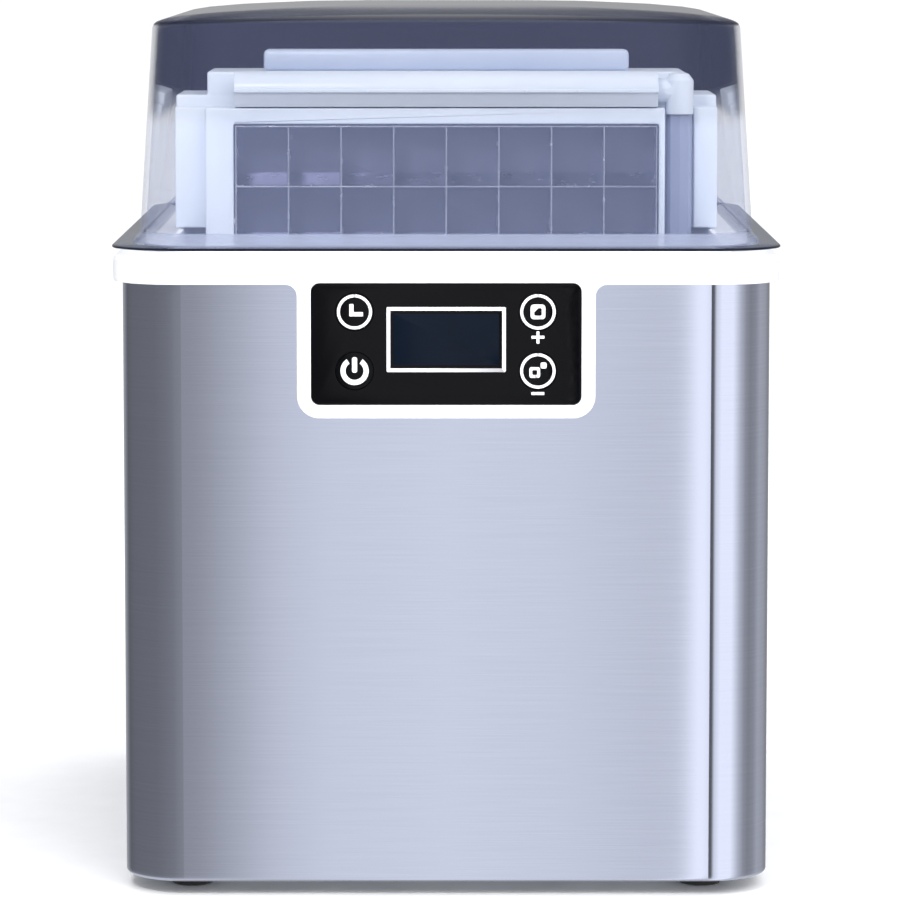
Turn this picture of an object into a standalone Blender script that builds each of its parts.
"""Countertop clear-ice maker with a vertical evaporator under a clear dome lid.

Metres, +Z up. The front faces -Y and +X is the right-hand side seen from the front. The
origin is on the surface the machine stands on, under the middle of the cabinet.
"""

import math

import bmesh
import bpy
from mathutils import Matrix, Vector
from mathutils.geometry import interpolate_bezier

# ---------------------------------------------------------------- driving dimensions
# Fits between pieces
GAP = 0.0003  # air left between two pieces that touch
PIN_CLEARANCE = 0.0003  # a bore is larger than its pin by this all round
REACH = 0.010  # how far a cutter passes beyond what it cuts

# Cabinet
BODY_W = 0.292
BODY_D = 0.355
BODY_H = 0.278
BODY_R = 0.025
FOOT_H = 0.0065
FOOT_R = 0.011
FOOT_INSET = 0.030
STEEL = 0.001
PAN_WALL = 0.0015
PAN_FLOOR = 0.003
PAN_H = 0.015

# Top rim and the tongue round the control panel
RIM_PROUD = 0.004
RIM_BAND = 0.012
RIM_WEB = 0.004
RIM_LIP = 0.002
RIM_LIP_T = 0.003
TONGUE_W = 0.133
TONGUE_DROP = 0.0717
TONGUE_R = 0.010
TONGUE_BACK = 0.0002  # the tongue stands this much behind the band above it

# Bin opening, liner and insulation
BIN_INSET_SIDE = 0.020
BIN_INSET_FRONT = 0.0165
MACHINE_DEPTH = 0.1655
TUB_LOW = 0.034
TUB_WALL = 0.0025
TUB_R = 0.018
FOAM_REAR_T = 0.012
FOAM_CLEAR = 0.0035

# Lid
LID_H = 0.1075
LID_WALL = 0.0025
LID_DRAFT = 0.060
LID_R = 0.028
LIP_T = 0.0013
LID_LIFT = 0.003
LID_REAR_INSET = 0.0305
HINGE_SPAN = 0.190
HINGE_BACK = 0.011
HINGE_RISE = 0.008
BARREL_R = 0.005
BARREL_W = 0.018
EAR_T = 0.004
EAR_R = 0.0065
PIN_R = 0.0025

# Control panel
FASCIA_W = 0.120
FASCIA_H = 0.054
FASCIA_T = 0.003
DISPLAY_W = 0.054
DISPLAY_H = 0.030
KEY_R = 0.0084
KEY_CLEAR = 0.0004
KEY_TRAVEL = 0.0008
KEY_X = 0.0408
KEY_RISE = 0.0132
KEYS_UP = 0.0012  # the keys' middle above the fascia's
DISPLAY_UP = 0.0020
BOARD_T = 0.0016

# Evaporator
COLUMNS = 8
ROWS = 3
CELL_W = 0.02515
CELL_H = 0.0288
FIN_T = 0.0012
FIN_DEPTH = 0.020
FIN_SLOPE = 0.25
PLATE_T = 0.0015
GRID_RISE = 0.0515
COIL_R = 0.004
COIL_PITCH = 0.020

# Housing of the evaporator
HOUSING_WALL = 0.0025
HOUSING_RISE = 0.077
WING_RISE = 0.066
HOUSING_SIDE = 0.0144
SPRAY_R = 0.0115
HOSE_R = 0.006
ELBOW_R = 0.0068

# Bin contents
TANK_H = 0.075
TANK_WALL = 0.002
BASKET_WALL = 0.002
BASKET_R = 0.012
BASKET_DEPTH = 0.1015
FLAP_H = 0.048
FLAP_T = 0.002

# Machine compartment
COMPRESSOR_R = 0.048
COMPRESSOR_H = 0.126
FAN_R = 0.050
SHAFT_R = 0.0025
FAN_FRAME = 0.114
CONDENSER_T = 0.025
CONDENSER_LOW = 0.048
LINE_R = 0.003
SUCTION_R = 0.004
PANEL_W = 0.236
PANEL_T = 0.0012
SCREW_R = 0.0016
OUTLET_R = 0.0087
VENT_W = 0.035
VENT_H = 0.003
VENT_PITCH = 0.009
VENT_ROWS = 7
VENT_LOW = 0.060
VENT_BACK = 0.125

# ---------------------------------------------------------------- places worked out from them
HALF_W = BODY_W / 2
FRONT = -BODY_D / 2
REAR = BODY_D / 2
WRAP_TOP = FOOT_H + BODY_H
WEB_LOW = WRAP_TOP + 0.0005
RIM_TOP = WEB_LOW + RIM_WEB
RIM_LOW = RIM_TOP - RIM_BAND
RIM_FRONT = FRONT - RIM_PROUD
BIN_HALF = HALF_W - BIN_INSET_SIDE
BIN_FRONT = FRONT + BIN_INSET_FRONT
BIN_REAR = REAR - MACHINE_DEPTH
TUB_HALF = BIN_HALF + 0.002
TUB_FRONT = BIN_FRONT - 0.002
TUB_REAR = BIN_REAR - 0.004
FOAM_HALF = HALF_W - STEEL - 0.003
FOAM_FRONT = FRONT + FOAM_CLEAR
FOAM_REAR = TUB_REAR + FOAM_REAR_T
PAN_TOP = FOOT_H + 0.0005 + PAN_H
PAN_INSIDE = FOOT_H + 0.0005 + PAN_FLOOR

HINGE_Y = REAR - LID_REAR_INSET + HINGE_BACK
HINGE_Z = RIM_TOP + HINGE_RISE

PANEL_FRONT = RIM_FRONT + 0.0003
FASCIA_LOW = RIM_TOP - TONGUE_DROP + 0.0063
FASCIA_MID = FASCIA_LOW + FASCIA_H / 2
KEYS_MID = FASCIA_MID + KEYS_UP
DISPLAY_MID = FASCIA_MID + DISPLAY_UP
BOARD_Y = PANEL_FRONT + 0.0070

GRID_HALF = COLUMNS * CELL_W / 2
GRID_FRONT = BIN_REAR - 0.042
GRID_BACK = GRID_FRONT + FIN_DEPTH
GRID_TOP = RIM_TOP + GRID_RISE
GRID_LOW = GRID_TOP - ROWS * CELL_H
HOUSING_FRONT = GRID_FRONT - 0.002
HOUSING_STEP = GRID_FRONT + 0.018
HOUSING_LOW = GRID_LOW - 0.009
HOUSING_LOW_REAR = TUB_REAR - TUB_WALL - 0.0015
LEDGE_TOP = GRID_TOP + 0.009
HOUSING_REAR = BIN_REAR + 0.032
HOUSING_TOP = RIM_TOP + HOUSING_RISE
HOUSING_LEFT = -GRID_HALF - HOUSING_SIDE
CHANNEL = (GRID_HALF + 0.0039, GRID_HALF + 0.0179)
WING_HALF = BIN_HALF + 0.004
WING_FRONT = HOUSING_FRONT + 0.010
WING_TOP = RIM_TOP + WING_RISE
WING_LOW = RIM_TOP + RIM_LIP + 0.0005
HOSE_X = sum(CHANNEL) / 2
HOSE_Y = HOUSING_FRONT + 0.007
SPRAY_Y = HOUSING_FRONT + 0.006
SPRAY_Z = GRID_TOP + 0.018

TANK_LOW = TUB_LOW + TUB_WALL + GAP
TANK_TOP = TANK_LOW + TANK_H
TANK_HALF = TUB_HALF - TUB_WALL - 0.0035
TANK_FRONT = TUB_FRONT + TUB_WALL + 0.0025
TANK_REAR = TUB_REAR - TUB_WALL - 0.0035
SPOUT_X = 0.100
SPOUT_Z = TANK_LOW + 0.011
SPOUT_R = 0.005
BASKET_HALF = TANK_HALF - 0.0005
BASKET_FRONT = TANK_FRONT + 0.0005
BASKET_REAR = BASKET_FRONT + BASKET_DEPTH
BASKET_TOP = RIM_TOP - 0.031
BASKET_LOW_SIDE = BASKET_TOP - 0.072
FLAP_Y = HOUSING_FRONT - 0.0085
FLAP_Z = HOUSING_LOW - 0.007
GUIDE_HALF = GRID_HALF + 0.0034
CHEEK_T = 0.0025
FLOAT_PLACE = (-TANK_HALF + 0.022, GRID_FRONT + 0.005)
PUMP_PLACE = (TANK_HALF - 0.022, HOSE_Y)

COMPRESSOR_X = -0.075
COMPRESSOR_Y = REAR - 0.0825
COMPRESSOR_LOW = 0.0215
DISCHARGE = (COMPRESSOR_X + 0.009, COMPRESSOR_Y + 0.015)
SUCTION = (COMPRESSOR_X - 0.020, COMPRESSOR_Y - 0.010)
STUB_TOP = COMPRESSOR_LOW + COMPRESSOR_H + 0.008
LINE_Z = STUB_TOP + 0.022
LINE_Y = FOAM_REAR + 0.007
FAN_X = 0.075
FAN_Z = CONDENSER_LOW + FAN_FRAME / 2 - 0.001
FAN_Y = REAR - 0.0635
CONDENSER_Y = REAR - 0.0375
DECK_HOLE = (-0.104, -0.030, BIN_REAR + 0.006, BIN_REAR + 0.0295)
COIL_X = -GRID_HALF + 0.0066
COIL_Y = GRID_BACK + PLATE_T + GAP + COIL_R
COIL_TOP = GRID_LOW + 0.068
COIL_END = BIN_REAR + 0.002
OUTLET_Z = 0.036
OUTLET_X = SPOUT_X
GLAND_X = -0.095
PANEL_LOW = 0.016
PANEL_HIGH = RIM_LOW - 0.005
PANEL_LAP = 0.008
SCREW_X = PANEL_W / 2 - 0.004

AXES = {
    "X": Matrix(((0, 0, 1), (1, 0, 0), (0, 1, 0))),
    "Y": Matrix(((1, 0, 0), (0, 0, 1), (0, -1, 0))),
    "Z": Matrix.Identity(3),
}

COLOURS = {
    "brushed_steel": ((0.60, 0.61, 0.64), 0.32, 1.0),
    "galvanised_steel": ((0.45, 0.46, 0.48), 0.45, 1.0),
    "white_abs": ((0.86, 0.87, 0.89), 0.35, 0.0),
    "white_liner": ((0.80, 0.82, 0.84), 0.40, 0.0),
    "smoked_lid": ((0.30, 0.32, 0.40), 0.08, 0.0),
    "gloss_black": ((0.008, 0.008, 0.010), 0.06, 0.0),
    "display_glass": ((0.010, 0.016, 0.035), 0.05, 0.0),
    "nickel": ((0.55, 0.55, 0.62), 0.25, 1.0),
    "copper": ((0.72, 0.36, 0.22), 0.30, 1.0),
    "foam": ((0.85, 0.80, 0.62), 0.90, 0.0),
    "black_rubber": ((0.020, 0.020, 0.020), 0.80, 0.0),
    "black_enamel": ((0.015, 0.015, 0.017), 0.35, 0.0),
    "blue_hose": ((0.28, 0.32, 0.46), 0.40, 0.0),
    "clear_basket": ((0.62, 0.66, 0.72), 0.20, 0.0),
    "aluminium": ((0.62, 0.63, 0.65), 0.35, 1.0),
    "board_green": ((0.03, 0.16, 0.07), 0.50, 0.0),
    "blue_plastic": ((0.05, 0.12, 0.30), 0.40, 0.0),
}


# ---------------------------------------------------------------- helpers
def clear_scene():
    for obj in list(bpy.data.objects):
        bpy.data.objects.remove(obj)


def new_collection(name):
    made = bpy.data.collections.new(name)
    bpy.context.scene.collection.children.link(made)
    return made


def principled(name, colour, roughness, metallic):
    made = bpy.data.materials.new(name)
    made.use_nodes = True
    shader = made.node_tree.nodes["Principled BSDF"]
    shader.inputs["Base Color"].default_value = (*colour, 1)
    shader.inputs["Roughness"].default_value = roughness
    shader.inputs["Metallic"].default_value = metallic
    return made


clear_scene()
PARTS = new_collection("ice_maker")
CUTTERS = new_collection("cutters")
CUTTERS.hide_render = True
FINISHES = {name: principled(name, *look) for name, look in COLOURS.items()}


def add_object(name, data, finish, place=(0, 0, 0), axis="Z"):
    """A new object: a part when it has a finish, otherwise a hidden cutter."""
    obj = bpy.data.objects.new(name, data)
    obj.location = place
    obj.rotation_euler = AXES[axis].to_euler()
    if finish:
        PARTS.objects.link(obj)
        data.materials.append(FINISHES[finish])
    else:
        CUTTERS.objects.link(obj)
        obj.hide_render = True
        obj.display_type = "WIRE"
    return obj


def mesh_from(builder):
    """A mesh with whatever the builder puts in an empty bmesh."""
    mesh = bpy.data.meshes.new("mesh")
    work = bmesh.new()
    builder(work)
    bmesh.ops.recalc_face_normals(work, faces=work.faces)
    work.to_mesh(mesh)
    work.free()
    return mesh


def box(name, x, y, z, finish=None):
    """A box between the limits x, y and z, each a pair."""
    size = [high - low for low, high in (x, y, z)]
    middle = [(low + high) / 2 for low, high in (x, y, z)]

    def build(work):
        bmesh.ops.create_cube(work, size=1, matrix=Matrix.Diagonal((*size, 1)))

    return add_object(name, mesh_from(build), finish, middle)


def rod(name, place, radius, span, axis="Z", finish=None, sides=24):
    """A cylinder: place is its axis in the two other directions, and span its two ends."""
    length = span[1] - span[0]
    middle = (span[0] + span[1]) / 2

    def build(work):
        bmesh.ops.create_cone(
            work, cap_ends=True, segments=sides, radius1=radius, radius2=radius, depth=length
        )

    spot = {
        "X": (middle, place[0], place[1]),
        "Y": (place[0], middle, place[1]),
        "Z": (place[0], place[1], middle),
    }[axis]
    obj = add_object(name, mesh_from(build), finish, spot, axis)
    obj.data.shade_smooth()
    obj.data.set_sharp_from_angle(angle=math.radians(40))
    return obj


def turned(name, profile, place, axis="Z", finish=None, steps=32):
    """A turned piece: the profile is (radius, height) and runs down its outer side."""
    mesh = bpy.data.meshes.new(name)
    closed = profile[0][0] > 0
    edges = [(i, i + 1) for i in range(len(profile) - 1)]
    if closed:
        edges.append((len(profile) - 1, 0))
    mesh.from_pydata([(radius, 0, height) for radius, height in profile], edges, [])
    obj = add_object(name, mesh, finish, place, axis)
    screw = obj.modifiers.new("Turn", "SCREW")
    screw.steps = steps
    screw.render_steps = steps
    screw.use_merge_vertices = True
    screw.merge_threshold = 0.00001
    screw.use_smooth_shade = True
    return obj


def rounded(x, y, radius, steps=6):
    """The outline of a rounded rectangle, anticlockwise from its right-hand lower corner."""
    corners = ((x[1], y[0], -90), (x[1], y[1], 0), (x[0], y[1], 90), (x[0], y[0], 180))
    points = []
    for corner_x, corner_y, start in corners:
        centre_x = corner_x - math.copysign(radius, corner_x - sum(x) / 2)
        centre_y = corner_y - math.copysign(radius, corner_y - sum(y) / 2)
        for step in range(steps + 1):
            angle = math.radians(start + 90 * step / steps)
            points.append(
                (centre_x + radius * math.cos(angle), centre_y + radius * math.sin(angle))
            )
    return points


def as_mesh(curve):
    """The mesh of a curve object, with its caps welded to its sides."""
    graph = bpy.context.evaluated_depsgraph_get()
    mesh = bpy.data.meshes.new_from_object(curve.evaluated_get(graph))
    work = bmesh.new()
    work.from_mesh(mesh)
    bmesh.ops.remove_doubles(work, verts=work.verts, dist=0.000005)
    bmesh.ops.recalc_face_normals(work, faces=work.faces)
    work.to_mesh(mesh)
    work.free()
    return mesh


def flat(name, outline, span, axis="Z", finish=None):
    """An outline given thickness along an axis: (x, y) for Z, (x, z) for Y, (y, z) for X."""
    data = bpy.data.curves.new(name, "CURVE")
    data.dimensions = "2D"
    data.fill_mode = "BOTH"
    data.extrude = (span[1] - span[0]) / 2
    spline = data.splines.new("POLY")
    spline.points.add(len(outline) - 1)
    flip = -1 if axis == "Y" else 1
    for point, (across, up) in zip(spline.points, outline):
        point.co = (across, flip * up, 0, 1)
    spline.use_cyclic_u = True
    curve = bpy.data.objects.new(name + "_outline", data)
    bpy.context.scene.collection.objects.link(curve)
    bpy.context.view_layer.update()
    mesh = as_mesh(curve)
    bpy.data.objects.remove(curve)
    middle = (span[0] + span[1]) / 2
    spot = {"X": (middle, 0, 0), "Y": (0, middle, 0), "Z": (0, 0, middle)}[axis]
    mesh.materials.clear()
    return add_object(name, mesh, finish, spot, axis)


def rounded_block(name, x, y, z, radius, finish=None, steps=6):
    """A box with its four upright edges rounded."""
    return flat(name, rounded(x, y, radius, steps), z, "Z", finish)


def loft(name, sections, finish=None, steps=6):
    """A closed skin through level rounded rectangles: (x pair, y pair, radius, z) each."""

    def build(work):
        rings = []
        for x, y, radius, z in sections:
            outline = rounded(x, y, radius, steps)
            rings.append([work.verts.new((px, py, z)) for px, py in outline])
        for low, high in zip(rings, rings[1:]):
            for i in range(len(low)):
                j = (i + 1) % len(low)
                work.faces.new((low[i], low[j], high[j], high[i]))
        work.faces.new(rings[0][::-1])
        work.faces.new(rings[-1])

    return add_object(name, mesh_from(build), finish)


def routed(corners, bend, steps=4):
    """The points of a line through the corners, each turned with the bend radius."""
    corners = [Vector(corner) for corner in corners]
    points = [corners[0]]
    for before, corner, after in zip(corners, corners[1:], corners[2:]):
        into = (corner - before).normalized()
        out = (after - corner).normalized()
        turn = into.angle(out)
        reach = bend * math.tan(turn / 2)
        start = corner - into * reach
        end = corner + out * reach
        pull = bend * 4 / 3 * math.tan(turn / 4)
        points += interpolate_bezier(
            start, start + into * pull, end - out * pull, end, steps + 1
        )
    return points + [corners[-1]]


def tube_through(name, points, radius, finish):
    """A round pipe or hose through a line of points."""
    data = bpy.data.curves.new(name, "CURVE")
    data.dimensions = "3D"
    data.bevel_depth = radius
    data.bevel_resolution = 2
    data.use_fill_caps = True
    spline = data.splines.new("POLY")
    spline.points.add(len(points) - 1)
    for point, place in zip(spline.points, points):
        point.co = (*place, 1)
    return add_object(name, data, finish)


def tube(name, corners, radius, bend, finish, steps=4):
    """A round pipe or hose through corners, each turned with the bend radius."""
    return tube_through(name, routed(corners, bend, steps), radius, finish)


def boolean(obj, others, operation):
    for other in others:
        step = obj.modifiers.new(other.name[:50], "BOOLEAN")
        step.operation = operation
        step.solver = "EXACT"
        step.object = other
    return obj


def cut(obj, *cutters):
    return boolean(obj, cutters, "DIFFERENCE")


def join(obj, *others):
    return boolean(obj, others, "UNION")


def repeated(obj, count, offset, name="Row"):
    """Copies of a cutter, in a row."""
    row = obj.modifiers.new(name, "ARRAY")
    row.count = count
    row.use_relative_offset = False
    row.use_constant_offset = True
    row.constant_offset_displace = offset
    return obj


def grown(pair, by):
    return (pair[0] - by, pair[1] + by)


def both_ways(value):
    return (-value, value)


def shifted(pair, by):
    return (pair[0] + by, pair[1] + by)


# ---------------------------------------------------------------- cabinet
def make_base_pan():
    wall_gap = STEEL + 0.0004
    x = both_ways(HALF_W - wall_gap)
    y = (FRONT + wall_gap, REAR - wall_gap)
    radius = BODY_R - wall_gap
    low = FOOT_H + 0.0005
    pan = rounded_block("base_pan", x, y, (low, PAN_TOP), radius, "galvanised_steel")
    hollow = rounded_block(
        "pan_hollow",
        grown(x, -PAN_WALL),
        grown(y, -PAN_WALL),
        (PAN_INSIDE, PAN_TOP + 0.01),
        radius - PAN_WALL,
    )
    cut(pan, hollow)
    for place in foot_places():
        cut(pan, rod("pan_stud_hole", place, 0.0034, (0, 0.03), sides=16))


def foot_places():
    return [
        (side * (HALF_W - FOOT_INSET), end * (REAR - FOOT_INSET))
        for side in (-1, 1)
        for end in (-1, 1)
    ]


def make_feet():
    names = ("foot_front_left", "foot_rear_left", "foot_front_right", "foot_rear_right")
    top = FOOT_H + 0.0005 - GAP
    profile = [
        (0, PAN_INSIDE + 0.004),
        (0.003, PAN_INSIDE + 0.004),
        (0.003, top),
        (FOOT_R - 0.001, top),
        (FOOT_R, top - 0.001),
        (FOOT_R - 0.0015, 0),
        (0, 0),
    ]
    for name, place in zip(names, foot_places()):
        turned(name, profile, (*place, 0), "Z", "black_rubber", 14)


def make_wrap():
    x = both_ways(HALF_W)
    y = (FRONT, REAR)
    z = (FOOT_H, WRAP_TOP)
    wrap = rounded_block("wrap_panel", x, y, z, BODY_R, "brushed_steel", 6)
    inside = rounded_block(
        "wrap_inside", grown(x, -STEEL), grown(y, -STEEL), grown(z, 0.01), BODY_R - STEEL, steps=6
    )
    notch_low = RIM_TOP - TONGUE_DROP + 0.0037
    notch = box(
        "wrap_notch", both_ways(TONGUE_W / 2 - 0.0045), (FRONT - 0.01, FRONT + 0.01),
        (notch_low, WRAP_TOP + 0.01),
    )
    half_opening = PANEL_W / 2 - PANEL_LAP
    opening = box(
        "wrap_opening", both_ways(half_opening), (REAR - 0.01, REAR + 0.01),
        (PANEL_LOW + PANEL_LAP, PANEL_HIGH - PANEL_LAP),
    )
    vents = box(
        "side_vents", both_ways(HALF_W + REACH), (REAR - VENT_BACK, REAR - VENT_BACK + VENT_W),
        (VENT_LOW, VENT_LOW + VENT_H),
    )
    repeated(vents, VENT_ROWS, (0, 0, VENT_PITCH))
    repeated(vents, 2, (0, VENT_W + 0.010, 0), "Columns")
    cut(wrap, inside, notch, opening, vents)
    for place in screw_places():
        cut(wrap, rod("wrap_screw_hole", place, SCREW_R + GAP, grown((REAR, REAR), 0.01), "Y", sides=12))


def screw_places():
    return [
        (side * SCREW_X, z)
        for side in (-1, 1)
        for z in (PANEL_LOW + 0.020, PANEL_HIGH - 0.020)
    ]


def make_rear_panel():
    y = (REAR + GAP, REAR + GAP + PANEL_T)
    outline = rounded(both_ways(PANEL_W / 2), (PANEL_LOW, PANEL_HIGH), 0.006, 3)
    panel = flat("rear_panel", outline, y, "Y", "galvanised_steel")
    slots = box("louvres", (-0.096, -0.006), grown(y, 0.01), (0.068, 0.0720))
    repeated(slots, 11, (0, 0, 0.0121))
    more = slots.modifiers.new("Columns", "ARRAY")
    more.count = 2
    more.use_relative_offset = False
    more.use_constant_offset = True
    more.constant_offset_displace = (0.102, 0, 0)
    outlet = rod("outlet_hole", (OUTLET_X, OUTLET_Z), 0.009, grown(y, 0.01), "Y")
    gland = rod("gland_hole", (GLAND_X, OUTLET_Z), 0.008, grown(y, 0.01), "Y")
    cut(panel, slots, outlet, gland)
    for place in screw_places():
        cut(panel, rod("panel_screw_hole", place, SCREW_R + GAP, grown(y, 0.01), "Y", sides=12))


def make_rear_screws():
    names = ("rear_screw_1", "rear_screw_2", "rear_screw_3", "rear_screw_4")
    head_low = PANEL_T + 2 * GAP
    profile = [
        (0, head_low + 0.0017),
        (0.0022, head_low + 0.0015),
        (0.0034, head_low + 0.0008),
        (0.0036, head_low),
        (SCREW_R, head_low),
        (SCREW_R, -0.006),
        (0, -0.007),
    ]
    for name, place in zip(names, screw_places()):
        turned(name, profile, (place[0], REAR, place[1]), "Y", "galvanised_steel", 12)


# ---------------------------------------------------------------- top rim
def make_rim():
    def level(inset, z):
        radius = BODY_R + RIM_PROUD - inset
        x = both_ways(HALF_W + RIM_PROUD - inset)
        return (x, (RIM_FRONT + inset, REAR + RIM_PROUD - inset), radius, z)

    edge = [level(0, RIM_LOW), level(0, RIM_TOP - 0.0025), level(0.0008, RIM_TOP - 0.0007)]
    rim = loft("top_rim", edge + [level(0.0025, RIM_TOP)], "white_abs", 6)

    lip_x = both_ways(BIN_HALF + RIM_LIP_T)
    lip_y = (BIN_FRONT - RIM_LIP_T, BIN_REAR + RIM_LIP_T)
    lip = rounded_block("rim_lip", lip_x, lip_y, (RIM_TOP - 0.001, RIM_TOP + RIM_LIP), TUB_R)
    tongue_low = RIM_TOP - TONGUE_DROP
    tongue_top = RIM_TOP - RIM_BAND / 2
    outline = rounded(both_ways(TONGUE_W / 2), (tongue_low, tongue_top), TONGUE_R, 5)
    outline = [
        (px, tongue_top) if pz > tongue_top - 2 * TONGUE_R else (px, pz) for px, pz in outline
    ]
    outline = corner_free(outline)
    tongue = flat("rim_tongue", outline, (RIM_FRONT + TONGUE_BACK, FRONT - GAP), "Y")
    join(rim, lip, tongue)

    under = rounded_block(
        "rim_underside", both_ways(HALF_W + 0.0005), (FRONT - 0.0005, REAR + 0.0005),
        (RIM_LOW - 0.01, WEB_LOW), BODY_R + 0.0005, steps=6,
    )
    opening = rounded_block(
        "rim_opening", both_ways(BIN_HALF), (BIN_FRONT, BIN_REAR),
        (RIM_LOW - 0.02, RIM_TOP + 0.02), TUB_R - RIM_LIP_T,
    )
    window = box(
        "fascia_window", both_ways(FASCIA_W / 2 + GAP), (RIM_FRONT - REACH, FRONT),
        grown((FASCIA_LOW, FASCIA_LOW + FASCIA_H), GAP),
    )
    x0, x1, y0, y1 = DECK_HOLE
    pipes = box("deck_hole", (x0, x1), (y0, y1), (RIM_TOP - 0.02, RIM_TOP + 0.02))
    cut(rim, under, opening, window, pipes)

    for side in (-1, 1):
        for end in (-1, 1):
            middle = side * HINGE_SPAN / 2 + end * (BARREL_W / 2 + 0.0005 + EAR_T / 2)
            ear = flat("ear", ear_outline(), grown((middle, middle), EAR_T / 2), "X")
            join(rim, ear)
    bore = rod("ear_bore", (HINGE_Y, HINGE_Z), PIN_R + PIN_CLEARANCE, both_ways(HALF_W), "X")
    cut(rim, bore)


def corner_free(outline):
    """The outline without repeated points."""
    kept = []
    for point in outline:
        if not kept or (Vector(point) - Vector(kept[-1])).length > 0.00001:
            kept.append(point)
    return kept


def ear_outline():
    points = [(HINGE_Y - EAR_R, RIM_TOP - 0.001), (HINGE_Y + EAR_R, RIM_TOP - 0.001)]
    for step in range(9):
        angle = math.pi * step / 8
        points.append((HINGE_Y + EAR_R * math.cos(angle), HINGE_Z + EAR_R * math.sin(angle)))
    return points


def make_hinge_pins():
    half = BARREL_W / 2 + EAR_T
    for name, side in (("lid_hinge_pin_left", -1), ("lid_hinge_pin_right", 1)):
        middle = side * HINGE_SPAN / 2
        rod(name, (HINGE_Y, HINGE_Z), PIN_R, grown((middle, middle), half), "X", "galvanised_steel", 20)


def make_bumpers():
    top = RIM_TOP + LID_LIFT - GAP
    for name, side in (("lid_bumper_left", -1), ("lid_bumper_right", 1)):
        place = (side * (HALF_W - 0.004), BIN_FRONT + 0.030, 0)
        profile = [(0, top), (0.0026, top), (0.0032, top - 0.0006), (0.0032, RIM_TOP + GAP)]
        turned(name, profile + [(0, RIM_TOP + GAP)], place, "Z", "white_abs", 16)


# ---------------------------------------------------------------- lid
def lid_level(inset, z, radius):
    """A level of the lid, inset from the foot of its wall."""
    return (
        both_ways(HALF_W - 0.0075 - inset),
        (FRONT + 0.0075 + inset, REAR - LID_REAR_INSET - inset),
        radius,
        z,
    )


def make_lid():
    low = RIM_TOP + LID_LIFT
    foot = low + 0.0058
    top = RIM_TOP + LID_H + LID_LIFT
    shoulder = top - 0.008
    lean = (shoulder - foot) * LID_DRAFT
    lip_x = both_ways(HALF_W + RIM_PROUD + 0.0005)
    lip_y = (RIM_FRONT - 0.0005, REAR - LID_REAR_INSET + 0.003)
    lip_r = BODY_R + RIM_PROUD + 0.0005
    crown_x = both_ways(HALF_W - 0.046)
    crown_y = (FRONT + 0.048, REAR - 0.072)
    cap_x = both_ways(HALF_W - 0.096)
    cap_y = (FRONT + 0.098, REAR - 0.122)
    sections = [
        (cap_x, cap_y, 0.010, top),
        (crown_x, crown_y, 0.018, top - 0.001),
        lid_level(lean + 0.0040, top - 0.003, LID_R - 0.006),
        lid_level(lean + 0.0013, top - 0.0047, LID_R - 0.0033),
        lid_level(lean, shoulder, LID_R - 0.002),
        lid_level(0, foot, LID_R),
        lid_level(-0.0022, foot - 0.0016, LID_R),
        lid_level(-0.0027, foot - 0.0036, LID_R + 0.0005),
        (lip_x, lip_y, lip_r, low + LIP_T),
        (lip_x, lip_y, lip_r, low),
        lid_level(LID_WALL - 0.0005, low, LID_R - LID_WALL),
        lid_level(LID_WALL, foot, LID_R - LID_WALL),
        lid_level(lean + LID_WALL, shoulder - 0.001, LID_R - LID_WALL - 0.002),
        lid_level(lean + LID_WALL + 0.0028, top - 0.0057, LID_R - LID_WALL - 0.0048),
        (crown_x, crown_y, 0.018, top - 0.001 - LID_WALL),
        (cap_x, cap_y, 0.010, top - LID_WALL),
    ]
    lid = loft("lid", sections, "smoked_lid", 5)
    wall_y = REAR - LID_REAR_INSET - 0.0010
    for side in (-1, 1):
        middle = side * HINGE_SPAN / 2
        x = grown((middle, middle), BARREL_W / 2)
        arm = box("arm", x, (wall_y, HINGE_Y), (HINGE_Z - 0.0035, HINGE_Z + 0.0035))
        join(lid, arm, rod("barrel", (HINGE_Y, HINGE_Z), BARREL_R, x, "X"))
    bore = rod("lid_bore", (HINGE_Y, HINGE_Z), PIN_R + PIN_CLEARANCE, both_ways(HALF_W), "X")
    cut(lid, bore)


# ---------------------------------------------------------------- control panel
def key_places():
    return {
        "key_timer": (-KEY_X, KEYS_MID + KEY_RISE),
        "key_power": (-KEY_X, KEYS_MID - KEY_RISE),
        "key_large_cube": (KEY_X, KEYS_MID + KEY_RISE),
        "key_small_cube": (KEY_X, KEYS_MID - KEY_RISE),
    }


def make_fascia():
    y = (PANEL_FRONT, PANEL_FRONT + FASCIA_T)
    z = (FASCIA_LOW, FASCIA_LOW + FASCIA_H)
    fascia = flat("control_fascia", rounded(both_ways(FASCIA_W / 2), z, 0.0036, 3), y, "Y", "gloss_black")
    window = box(
        "display_window", both_ways(DISPLAY_W / 2), grown(y, 0.01),
        grown((DISPLAY_MID, DISPLAY_MID), DISPLAY_H / 2),
    )
    for side in (-1, 1):
        for up in (-1, 1):
            place = (side * 0.0545, FASCIA_MID + up * 0.0220)
            join(fascia, rod("post", place, 0.002, (y[1] - 0.001, BOARD_Y - GAP), "Y", sides=12))
    cut(fascia, window)
    for place in key_places().values():
        cut(fascia, rod("key_hole", place, KEY_R + KEY_CLEAR, grown(y, 0.001), "Y"))


def make_keys():
    cap = 0.0022
    stem_end = BOARD_Y - 0.0014 - KEY_TRAVEL - 0.0003 - PANEL_FRONT
    profile = [(0, stem_end), (0.0025, stem_end), (0.0025, cap), (KEY_R, cap), (KEY_R, 0), (0, 0)]
    for name, place in key_places().items():
        turned(name, profile, (place[0], PANEL_FRONT, place[1]), "Y", "gloss_black", 20)


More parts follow.
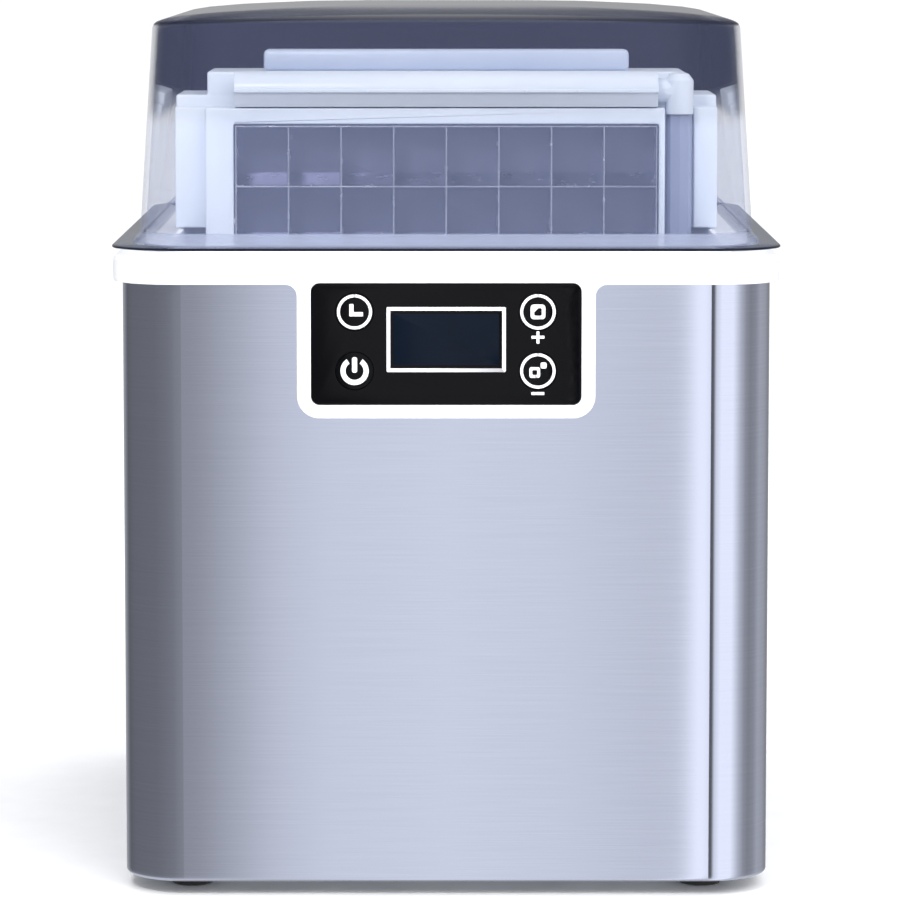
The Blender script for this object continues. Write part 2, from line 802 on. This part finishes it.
def make_display():
    y = (PANEL_FRONT + 0.0004, BOARD_Y - GAP)
    z = grown((DISPLAY_MID, DISPLAY_MID), DISPLAY_H / 2 - GAP)
    box("display_module", both_ways(DISPLAY_W / 2 - GAP), y, z, "display_glass")


def make_panel_board():
    z = grown((FASCIA_MID, FASCIA_MID), 0.0255)
    x = both_ways(FASCIA_W / 2 - 0.002)
    board = box("panel_board", x, (BOARD_Y, BOARD_Y + BOARD_T), z, "board_green")
    for place in key_places().values():
        join(board, rod("switch", place, 0.003, (BOARD_Y - 0.0014, BOARD_Y + 0.001), "Y", sides=16))


# ---------------------------------------------------------------- bin
def make_liner():
    x = both_ways(TUB_HALF)
    y = (TUB_FRONT, TUB_REAR)
    z = (TUB_LOW, WEB_LOW - GAP)
    tub = rounded_block("inner_liner", x, y, z, TUB_R, "white_liner")
    inside = rounded_block(
        "liner_inside", grown(x, -TUB_WALL), grown(y, -TUB_WALL),
        (TUB_LOW + TUB_WALL, z[1] + 0.01), TUB_R - TUB_WALL,
    )
    spout_y = grown((TUB_REAR, TUB_REAR), 0.008)
    spout = rod("liner_spout_hole", (SPOUT_X, SPOUT_Z), SPOUT_R + 0.0004, spout_y, "Y")
    cut(tub, inside, spout)


def make_insulation():
    x = both_ways(FOAM_HALF)
    y = (FOAM_FRONT, FOAM_REAR)
    z = (PAN_INSIDE + GAP, WRAP_TOP - 0.001)
    foam = rounded_block("bin_insulation", x, y, z, BODY_R - 0.003, "foam")
    inside = rounded_block(
        "foam_inside", both_ways(TUB_HALF + GAP), (TUB_FRONT - GAP, TUB_REAR + GAP),
        (TUB_LOW - GAP, WRAP_TOP + 0.01), TUB_R + GAP,
    )
    pocket = box(
        "foam_pocket", both_ways(TONGUE_W / 2 - 0.0005), (FOAM_FRONT - 0.01, BOARD_Y + 0.006),
        (FASCIA_LOW - 0.012, WRAP_TOP + 0.01),
    )
    spout_y = (TUB_REAR - REACH, FOAM_REAR + REACH)
    spout = rod("foam_spout_hole", (SPOUT_X, SPOUT_Z), SPOUT_R + 0.0004, spout_y, "Y")
    studs = [
        rod("foam_stud_recess", place, 0.006, (0, PAN_INSIDE + 0.008), sides=16)
        for place in foot_places()
        if place[1] < 0
    ]
    cut(foam, inside, pocket, spout, *studs)


def make_tank():
    x = both_ways(TANK_HALF)
    y = (TANK_FRONT, TANK_REAR)
    tank = rounded_block("water_tank", x, y, (TANK_LOW, TANK_TOP), TUB_R - 0.004, "white_liner")
    inside = rounded_block(
        "tank_inside", grown(x, -TANK_WALL), grown(y, -TANK_WALL),
        (TANK_LOW + TANK_WALL, TANK_TOP + 0.01), TUB_R - 0.004 - TANK_WALL,
    )
    spout = rod("spout", (SPOUT_X, SPOUT_Z), SPOUT_R, (TANK_REAR - 0.001, FOAM_REAR + 0.001), "Y")
    bore_y = (TANK_REAR - REACH, FOAM_REAR + REACH)
    bore = rod("spout_bore", (SPOUT_X, SPOUT_Z), SPOUT_R - 0.0015, bore_y, "Y", sides=16)
    post = rod("float_post", FLOAT_PLACE, 0.0025, (TANK_LOW + 0.001, TANK_TOP - 0.003), sides=16)
    cut(tank, inside)
    join(tank, spout, post)
    cut(tank, bore)


def make_float():
    low = TANK_LOW + 0.028
    profile = [(0.011, low + 0.018), (0.011, low), (0.0029, low), (0.0029, low + 0.018)]
    turned("float", profile, (*FLOAT_PLACE, 0), "Z", "blue_plastic", 20)


def make_pump():
    low = TANK_LOW + TANK_WALL + GAP
    profile = [
        (0, low + 0.046), (HOSE_R, low + 0.046), (HOSE_R, low + 0.036), (0.014, low + 0.034),
        (0.016, low + 0.030), (0.016, low), (0, low),
    ]
    turned("water_pump", profile, (*PUMP_PLACE, 0), "Z", "black_enamel", 24)
    start = (*PUMP_PLACE, low + 0.046 + GAP)
    lean = low + 0.075
    end = (HOSE_X, HOSE_Y, GRID_TOP + 0.0055)
    corners = [start, (*PUMP_PLACE, lean), (HOSE_X, HOSE_Y, lean + 0.030), end]
    tube("pump_hose", corners, HOSE_R, 0.02, "blue_hose")


def make_basket():
    x = both_ways(BASKET_HALF)
    y = (BASKET_FRONT, BASKET_REAR)
    z = (TANK_TOP + GAP, BASKET_TOP)
    basket = rounded_block("ice_basket", x, y, z, BASKET_R, "clear_basket", 4)
    inside = rounded_block(
        "basket_inside", grown(x, -BASKET_WALL), grown(y, -BASKET_WALL),
        (z[0] + BASKET_WALL, z[1] + 0.01), BASKET_R - BASKET_WALL, steps=4,
    )
    wedge = flat(
        "basket_slope",
        [
            (BASKET_REAR + 0.01, BASKET_LOW_SIDE),
            (BASKET_REAR + 0.01, BASKET_TOP + 0.01),
            (BASKET_FRONT + 0.0475, BASKET_TOP + 0.01),
            (BASKET_FRONT + 0.0475, BASKET_TOP),
            (BASKET_REAR - 0.004, BASKET_LOW_SIDE),
        ],
        both_ways(BASKET_HALF + 0.01),
        "X",
    )
    slot_z = (z[0] - REACH, z[0] + 0.001 + BASKET_WALL)
    slots = box("basket_slots", (-0.104, -0.098), grown(y, -0.015), slot_z)
    repeated(slots, 14, (0.0155, 0, 0))
    cut(basket, inside, wedge, slots)


# ---------------------------------------------------------------- evaporator
def lean_down(obj):
    """Shear a mesh so that its front sits lower than its back."""
    for vertex in obj.data.vertices:
        depth = obj.location.y + vertex.co.y - GRID_FRONT
        vertex.co.z += depth * FIN_SLOPE
    return obj


def make_evaporator():
    z = (GRID_LOW - FIN_T / 2, GRID_TOP + FIN_T / 2)
    x = both_ways(GRID_HALF + FIN_T / 2)
    block = lean_down(box("evaporator", x, (GRID_FRONT, GRID_BACK + PLATE_T), z, "nickel"))
    cell = box(
        "cells", (-GRID_HALF + FIN_T / 2, -GRID_HALF + CELL_W - FIN_T / 2),
        (GRID_FRONT - 0.004, GRID_BACK), (GRID_LOW + FIN_T / 2, GRID_LOW + CELL_H - FIN_T / 2),
    )
    repeated(lean_down(cell), COLUMNS, (CELL_W, 0, 0))
    repeated(cell, ROWS, (0, 0, CELL_H), "Rows")
    cut(block, cell)


def make_coil():
    """A pipe that runs to and fro behind the plate, with both ends brought back."""
    left = COIL_X + 0.024
    right = GRID_HALF - 0.014
    half = COIL_PITCH / 2
    levels = [COIL_TOP - row * COIL_PITCH for row in range(4)]
    corners = [(COIL_X, COIL_END, levels[0]), (COIL_X, COIL_Y, levels[0])]
    points = routed(corners + [(right, COIL_Y, levels[0])], 0.007, 3)
    for row, level in enumerate(levels[:-1]):
        centre_x, side = (right, 1) if row % 2 == 0 else (left, -1)
        for step in range(1, 5):
            angle = math.pi / 2 - math.pi * step / 5
            points.append(
                Vector((
                    centre_x + side * half * math.cos(angle), COIL_Y,
                    level - half + half * math.sin(angle),
                ))
            )
        points.append(Vector((centre_x, COIL_Y, level - COIL_PITCH)))
    rise = [(COIL_X, COIL_Y, levels[3]), (COIL_X, COIL_Y, levels[1]), (COIL_X, COIL_END, levels[1])]
    points = points[:-1] + routed(points[-1:] + rise, 0.008, 3)
    tube_through("evaporator_coil", points, COIL_R, "copper")


def make_housing():
    wall = HOUSING_WALL
    centre_x = (HOUSING_LEFT, CHANNEL[0])
    low_part = box(
        "evaporator_housing", centre_x, (HOUSING_FRONT, HOUSING_LOW_REAR), (HOUSING_LOW, LEDGE_TOP),
        "white_abs",
    )
    tower = box(
        "tower", (HOUSING_LEFT, -HOUSING_LEFT), (HOUSING_STEP, HOUSING_REAR), (WING_LOW, HOUSING_TOP)
    )
    wings = box("wings", both_ways(WING_HALF), (WING_FRONT, HOUSING_REAR), (WING_LOW, WING_TOP))
    ledge = box(
        "ledge", both_ways(WING_HALF + REACH), (WING_FRONT - REACH, HOUSING_STEP),
        (LEDGE_TOP, HOUSING_TOP + REACH),
    )
    channel = box(
        "channel", CHANNEL, (HOUSING_FRONT - REACH, HOSE_Y + HOSE_R + 0.0012),
        (HOUSING_LOW - REACH, HOUSING_TOP),
    )
    join(low_part, tower, wings)
    cut(low_part, ledge, channel)

    core = box(
        "core", grown(centre_x, -wall), (HOUSING_FRONT + wall, HOUSING_LOW_REAR - wall),
        (HOUSING_LOW - 0.01, LEDGE_TOP - wall),
    )
    above = box(
        "above", grown((HOUSING_LEFT, -HOUSING_LEFT), -wall), (HOUSING_STEP + wall, HOUSING_REAR - wall),
        (WING_LOW - 0.01, HOUSING_TOP - wall),
    )
    aside = box(
        "aside", both_ways(WING_HALF - wall), (HOUSING_STEP + wall, HOUSING_REAR - wall),
        (WING_LOW - REACH, WING_TOP - wall),
    )
    window = box(
        "grid_window", both_ways(GRID_HALF + FIN_T / 2 + GAP),
        (HOUSING_FRONT - REACH, HOUSING_FRONT + wall + 0.001),
        (GRID_LOW - FIN_T / 2 - GAP, GRID_TOP + FIN_T / 2 + 0.0006),
    )
    cut(low_part, core, above, aside, window)


def make_spray():
    outline = []
    for step in range(9):
        angle = math.pi * (1 - step / 8)
        outline.append((SPRAY_Y + SPRAY_R * math.cos(angle), SPRAY_Z + 0.0085 * math.sin(angle)))
    low = SPRAY_Z - 0.0085
    outline += [(SPRAY_Y + SPRAY_R, low), (SPRAY_Y - SPRAY_R + 0.003, low)]
    outline.append((SPRAY_Y - SPRAY_R, low + 0.003))
    half = GRID_HALF + 0.0004
    body = flat("spray_tube", outline, both_ways(half), "X", "white_abs")
    bore = rod("spray_bore", (SPRAY_Y, SPRAY_Z), 0.0055, (-half + 0.004, half + 0.01), "X", sides=16)
    nozzles = rod("nozzles", (-GRID_HALF + CELL_W / 2, SPRAY_Y), 0.0014, (low - 0.01, SPRAY_Z), sides=10)
    repeated(nozzles, COLUMNS, (CELL_W, 0, 0))
    cut(body, bore, nozzles)

    cover_y = (HOUSING_STEP + 0.003, HOUSING_STEP + 0.023)
    cover_z = (HOUSING_TOP + GAP, HOUSING_TOP + 0.0105)
    cover = box("spray_cover", both_ways(GRID_HALF - 0.0126), cover_y, cover_z, "white_abs")
    soften(cover, 0.002, 2)

    rise = (GRID_TOP + 0.0055 + GAP, SPRAY_Z + 0.004)
    elbow = rod("spray_elbow", (HOSE_X, HOSE_Y), ELBOW_R, rise, "Z", "white_abs", 20)
    arm_z = SPRAY_Z - 0.001
    arm = rod("elbow_arm", (HOSE_Y, arm_z), 0.0058, (half + GAP, HOSE_X), "X", sides=20)
    dome = turned(
        "elbow_dome", [(0, 0.0045), (0.0045, 0.0032), (ELBOW_R, 0), (ELBOW_R, -0.002), (0, -0.002)],
        (HOSE_X, HOSE_Y, SPRAY_Z + 0.0038), "Z", None, 20,
    )
    join(elbow, arm, dome)


def soften(obj, width, segments):
    bevel = obj.modifiers.new("Soften", "BEVEL")
    bevel.width = width
    bevel.segments = segments


def make_guide_and_flap():
    rear = HOUSING_LOW_REAR - 0.001
    front = FLAP_Y + 0.006
    top = HOUSING_LOW - 0.0005
    drop = 0.026
    cheek = [
        (rear, top), (FLAP_Y - 0.006, top), (FLAP_Y - 0.006, FLAP_Z - 0.006),
        (front, top - drop - 0.008), (rear, top - 0.012),
    ]
    guide = flat("ice_guide", cheek, (-GUIDE_HALF, -GUIDE_HALF + CHEEK_T), "X", "white_abs")
    other = flat("guide_cheek", cheek, (GUIDE_HALF - CHEEK_T, GUIDE_HALF), "X")
    ramp = flat(
        "guide_ramp",
        [
            (rear, top - 0.004), (front, top - drop - 0.002), (front, top - drop - 0.005),
            (rear, top - 0.008),
        ],
        both_ways(GUIDE_HALF - CHEEK_T / 2),
        "X",
    )
    join(guide, other, ramp)
    slot_y = (front + 0.005, rear - 0.006)
    pitch = CELL_W / 2
    first = -GRID_HALF + pitch / 2
    slots = box("guide_slots", grown((first, first), 0.0035), slot_y, (top - drop - 0.02, top))
    repeated(slots, 2 * COLUMNS, (pitch, 0, 0))
    pivot = rod("pivot_bore", (FLAP_Y, FLAP_Z), 0.0023, both_ways(GUIDE_HALF + 0.01), "X", sides=16)
    cut(guide, slots, pivot)

    half = GUIDE_HALF - CHEEK_T - 0.001
    flap = box(
        "ice_flap", both_ways(half), grown((FLAP_Y, FLAP_Y), FLAP_T / 2), (FLAP_Z - FLAP_H, FLAP_Z),
        "white_abs",
    )
    join(flap, rod("flap_rod", (FLAP_Y, FLAP_Z), 0.002, both_ways(GUIDE_HALF - 0.0005), "X", sides=16))


# ---------------------------------------------------------------- machine compartment
def grommet_places():
    return [
        (COMPRESSOR_X - 0.052, COMPRESSOR_Y - 0.040),
        (COMPRESSOR_X + 0.052, COMPRESSOR_Y - 0.040),
        (COMPRESSOR_X, COMPRESSOR_Y + 0.060),
    ]


def make_compressor():
    low = COMPRESSOR_LOW + 0.002
    high = COMPRESSOR_LOW + COMPRESSOR_H
    r = COMPRESSOR_R
    profile = [
        (0, high), (r * 0.45, high - 0.002), (r * 0.8, high - 0.010), (r * 0.97, high - 0.024),
        (r, high - 0.036), (r, low + 0.022), (r * 0.94, low + 0.008), (r * 0.78, low), (0, low),
    ]
    can = turned("compressor", profile, (COMPRESSOR_X, COMPRESSOR_Y, 0), "Z", "black_enamel", 24)
    plate_z = (COMPRESSOR_LOW, COMPRESSOR_LOW + 0.003)
    reach = [
        (-0.061, -0.049), (0.061, -0.049), (0.061, -0.030), (0.010, 0.069), (-0.010, 0.069),
        (-0.061, -0.030),
    ]
    outline = [(COMPRESSOR_X + px, COMPRESSOR_Y + py) for px, py in reach]
    join(can, flat("compressor_plate", outline, plate_z, "Z"))
    for place in (DISCHARGE, SUCTION):
        join(can, rod("stub", place, 0.0042, (high - 0.030, STUB_TOP), sides=16))
    for place in grommet_places():
        cut(can, rod("grommet_hole", place, 0.0053, grown(plate_z, 0.01), sides=16))

    grommet = [
        (0, COMPRESSOR_LOW + 0.0075), (0.0065, COMPRESSOR_LOW + 0.0065),
        (0.0065, plate_z[1] + GAP), (0.005, plate_z[1] + GAP), (0.005, COMPRESSOR_LOW - GAP),
        (0.0075, COMPRESSOR_LOW - GAP), (0.0075, PAN_INSIDE + GAP), (0, PAN_INSIDE + GAP),
    ]
    for number, place in enumerate(grommet_places(), 1):
        turned(f"grommet_{number}", grommet, (*place, 0), "Z", "black_rubber", 12)

    side = COMPRESSOR_X + r + 0.0005
    cover = box(
        "terminal_cover", (side, side + 0.016), grown((COMPRESSOR_Y, COMPRESSOR_Y), 0.016),
        (0.070, 0.108), "black_enamel",
    )
    soften(cover, 0.003, 2)


def make_condenser():
    x = grown((FAN_X, FAN_X), 0.060)
    y = (CONDENSER_Y, CONDENSER_Y + CONDENSER_T)
    z = (CONDENSER_LOW, CONDENSER_LOW + 0.110)
    core = box("condenser", x, y, z, "aluminium")
    legs = [
        box("leg", (edge, edge + 0.004), y, (PAN_INSIDE + GAP, z[0] + 0.002))
        for edge in (x[0], x[1] - 0.004)
    ]
    pitch = 0.0071
    slots = box("fin_slots", (x[0] + 0.0045, x[0] + 0.0082), grown(y, REACH), grown(z, -0.004))
    repeated(slots, 16, (pitch, 0, 0))
    middle = sum(y) / 2
    inlet = rod("inlet", (x[0] + 0.014, middle), LINE_R + 0.0008, (z[1] - 0.002, z[1] + 0.004), sides=16)
    outlet = rod("outlet", (middle, z[0] + 0.012), LINE_R, (x[0] - 0.004, x[0] + 0.002), "X", sides=16)
    cut(core, slots)
    join(core, *legs, inlet, outlet)
    return x, y, z


def make_fan():
    x = grown((FAN_X, FAN_X), FAN_FRAME / 2)
    z = grown((FAN_Z, FAN_Z), FAN_FRAME / 2)
    y = (FAN_Y, CONDENSER_Y - 0.002)
    web = FAN_Y + 0.003
    inner = (FAN_Y + 0.0004, web - 0.0004)
    shroud = box("fan_shroud", x, y, z, "black_enamel")
    ring = rod("fan_ring", (FAN_X, FAN_Z), FAN_R + 0.003, (web - 0.02, y[1] + 0.01), "Y", sides=40)
    long = both_ways(FAN_R + 0.0047)
    short = both_ways(0.004)
    bars = [
        box("bar_level", shifted(long, FAN_X), inner, shifted(short, FAN_Z)),
        box("bar_upright", shifted(short, FAN_X), grown(inner, -0.0003), shifted(long, FAN_Z)),
        rod("bar_hub", (FAN_X, FAN_Z), 0.020, (FAN_Y, web), "Y", sides=20),
    ]
    shaft_hole = rod("shaft_hole", (FAN_X, FAN_Z), 0.004, (FAN_Y - 0.01, web + 0.01), "Y", sides=16)
    leg_y = (FAN_Y + 0.001, FAN_Y + 0.010)
    legs = [
        box("shroud_leg", (edge, edge + 0.006), leg_y, (PAN_INSIDE + GAP, z[0] + 0.002))
        for edge in (x[0] + 0.001, x[1] - 0.007)
    ]
    cut(shroud, ring)
    join(shroud, *bars, *legs)
    cut(shroud, shaft_hole)

    shaft_end = FAN_Y + 0.017
    profile = [
        (0, shaft_end), (SHAFT_R, shaft_end), (SHAFT_R, FAN_Y - GAP), (0.018, FAN_Y - GAP),
        (0.020, FAN_Y - 0.003), (0.020, FAN_Y - 0.018), (0.017, FAN_Y - 0.021), (0, FAN_Y - 0.021),
    ]
    turned("fan_motor", profile, (FAN_X, 0, FAN_Z), "Y", "galvanised_steel", 24)

    hub_y = (FAN_Y + 0.0045, FAN_Y + 0.0195)
    hub = rod("fan_blades", (FAN_X, FAN_Z), 0.016, hub_y, "Y", "black_enamel", 24)
    for number in range(5):
        join(hub, blade(number, 5, sum(hub_y) / 2))
    bore_y = (hub_y[0] - REACH, shaft_end + 0.0005)
    cut(hub, rod("hub_bore", (FAN_X, FAN_Z), SHAFT_R + PIN_CLEARANCE, bore_y, "Y", sides=16))


def blade(number, count, y):
    """A fan blade: a thin plate that widens outwards and is pitched to the axis."""
    root, tip = 0.013, FAN_R

    def build(work):
        bmesh.ops.create_cube(work, size=1)
        for vertex in work.verts:
            outer = vertex.co.x > 0
            chord = 0.022 if outer else 0.010
            vertex.co = (tip if outer else root, vertex.co.y * chord, vertex.co.z * 0.0016)

    obj = add_object("blade", mesh_from(build), None, (FAN_X, y, FAN_Z))
    turn = Matrix.Rotation(2 * math.pi * number / count, 3, "Y")
    pitch = Matrix.Rotation(math.radians(58), 3, "X")
    obj.rotation_euler = (turn @ pitch).to_euler()
    return obj


def make_lines(condenser):
    x, y, z = condenser
    inlet = (x[0] + 0.014, sum(y) / 2)
    over = LINE_Z
    tube(
        "discharge_line",
        [
            (*DISCHARGE, STUB_TOP + GAP), (*DISCHARGE, over), (*inlet, over),
            (*inlet, z[1] + 0.004 + GAP),
        ],
        LINE_R, 0.009, "copper",
    )
    deck = COIL_TOP - COIL_PITCH
    suction_y = LINE_Y + 0.009
    tube(
        "suction_line",
        [
            (COIL_X, COIL_END + GAP, COIL_TOP), (COIL_X, suction_y, COIL_TOP),
            (COIL_X, suction_y, over + 0.012), (*SUCTION, over + 0.012), (*SUCTION, STUB_TOP + GAP),
        ],
        SUCTION_R, 0.010, "copper",
    )
    drier_x = -0.040
    drier_top = RIM_TOP - 0.031
    drier_low = drier_top - 0.058
    tube(
        "evaporator_feed_line",
        [
            (COIL_X, COIL_END + GAP, deck), (COIL_X, LINE_Y, deck), (drier_x, LINE_Y, deck),
            (drier_x, LINE_Y, drier_top + GAP),
        ],
        0.0025, 0.007, "copper",
    )
    shape = [
        (0, drier_top), (0.0026, drier_top), (0.0032, drier_top - 0.006), (0.0065, drier_top - 0.012),
        (0.0065, drier_low + 0.012), (0.0032, drier_low + 0.006), (0.0026, drier_low), (0, drier_low),
    ]
    turned("filter_drier", shape, (drier_x, LINE_Y, 0), "Z", "copper", 20)
    out_z = z[0] + 0.012
    out_y = sum(y) / 2
    tube(
        "liquid_line",
        [
            (drier_x, LINE_Y, drier_low - GAP), (drier_x, LINE_Y, out_z), (0, LINE_Y, out_z),
            (0, out_y, out_z), (x[0] - 0.004 - GAP, out_y, out_z),
        ],
        0.002, 0.008, "copper",
    )
    valve_x = DISCHARGE[0]
    valve_y = COMPRESSOR_Y - 0.030
    stem = (over - 0.010, over + 0.012)
    wide = both_ways(0.012)
    body = rod("solenoid_valve", (valve_x, valve_y), 0.008, stem, "Z", "galvanised_steel", 20)
    coil = box("valve_coil", shifted(wide, valve_x), shifted(wide, valve_y), (over + 0.011, over + 0.033))
    feed_y = (valve_y, DISCHARGE[1] - LINE_R - GAP)
    feed = rod("valve_inlet", (valve_x, over), 0.0028, feed_y, "Y", sides=16)
    lead = rod("valve_outlet", (valve_x, over), 0.0028, (valve_y - 0.018, valve_y), "Y", sides=16)
    join(body, coil, feed, lead)
    tube(
        "hot_gas_line",
        [
            (valve_x, valve_y - 0.018 - GAP, over), (valve_x, LINE_Y, over),
            (valve_x, LINE_Y, deck - 0.0025 - GAP),
        ],
        0.0025, 0.007, "copper",
    )


def make_drain():
    start = FOAM_REAR + 0.001 + GAP
    inner_end = REAR - 0.012
    route = [
        (SPOUT_X, start, SPOUT_Z), (SPOUT_X, start + 0.020, SPOUT_Z),
        (SPOUT_X, start + 0.050, OUTLET_Z), (OUTLET_X, inner_end, OUTLET_Z),
    ]
    tube("drain_hose", route, HOSE_R, 0.02, "blue_hose")
    face = REAR + GAP + PANEL_T + 0.0004
    body = rod("drain_outlet", (OUTLET_X, OUTLET_Z), OUTLET_R, (inner_end + GAP, face), "Y", "white_abs")
    cut(body, rod("outlet_bore", (OUTLET_X, OUTLET_Z), SPOUT_R, (inner_end + 0.005, face + REACH), "Y"))
    cap = [
        (0, face + 0.0016), (OUTLET_R - 0.0017, face + 0.0016), (OUTLET_R - 0.0009, face + 0.0010),
        (OUTLET_R - 0.0009, face + GAP), (SPOUT_R - 0.0004, face + GAP),
        (SPOUT_R - 0.0004, inner_end + 0.007), (0, inner_end + 0.007),
    ]
    turned("drain_cap", cap, (OUTLET_X, 0, OUTLET_Z), "Y", "black_rubber", 18)


def make_gland():
    face = REAR + GAP + PANEL_T + GAP
    profile = [
        (0.0070, face + 0.0018), (0.0100, face + 0.0006), (0.0100, face), (0.0077, face),
        (0.0077, REAR - 0.010), (0.0035, REAR - 0.010), (0.0035, face + 0.0018),
    ]
    turned("cord_gland", profile, (GLAND_X, 0, OUTLET_Z), "Y", "black_rubber", 18)


def make_control_board():
    x = (-0.020, 0.100)
    y = (FOAM_REAR + 0.006, FOAM_REAR + 0.0076)
    z = (RIM_TOP - 0.099, RIM_TOP - 0.029)
    board = box("control_board", x, y, z, "board_green")
    for px in grown(x, -0.006):
        for pz in grown(z, -0.006):
            post_y = (FOAM_REAR + GAP, y[0] + 0.001)
            join(board, rod("standoff", (px, pz), 0.003, post_y, "Y", sides=12))
    blocks = [
        ((0.060, 0.092), 0.022, (z[0] + 0.010, z[0] + 0.044)),
        ((-0.010, 0.008), 0.016, (z[0] + 0.012, z[0] + 0.032)),
        ((0.016, 0.034), 0.016, (z[0] + 0.012, z[0] + 0.032)),
        ((-0.008, 0.046), 0.010, (z[0] + 0.050, z[0] + 0.060)),
    ]
    for bx, height, bz in blocks:
        join(board, box("component", bx, (y[1] - 0.001, y[1] + height), bz))


# ---------------------------------------------------------------- the machine
def main():
    make_base_pan()
    make_feet()
    make_wrap()
    make_rear_panel()
    make_rear_screws()
    make_rim()
    make_hinge_pins()
    make_bumpers()
    make_lid()
    make_fascia()
    make_keys()
    make_display()
    make_panel_board()
    make_liner()
    make_insulation()
    make_tank()
    make_float()
    make_pump()
    make_basket()
    make_evaporator()
    make_coil()
    make_housing()
    make_spray()
    make_guide_and_flap()
    make_compressor()
    condenser = make_condenser()
    make_fan()
    make_lines(condenser)
    make_drain()
    make_gland()
    make_control_board()


main()
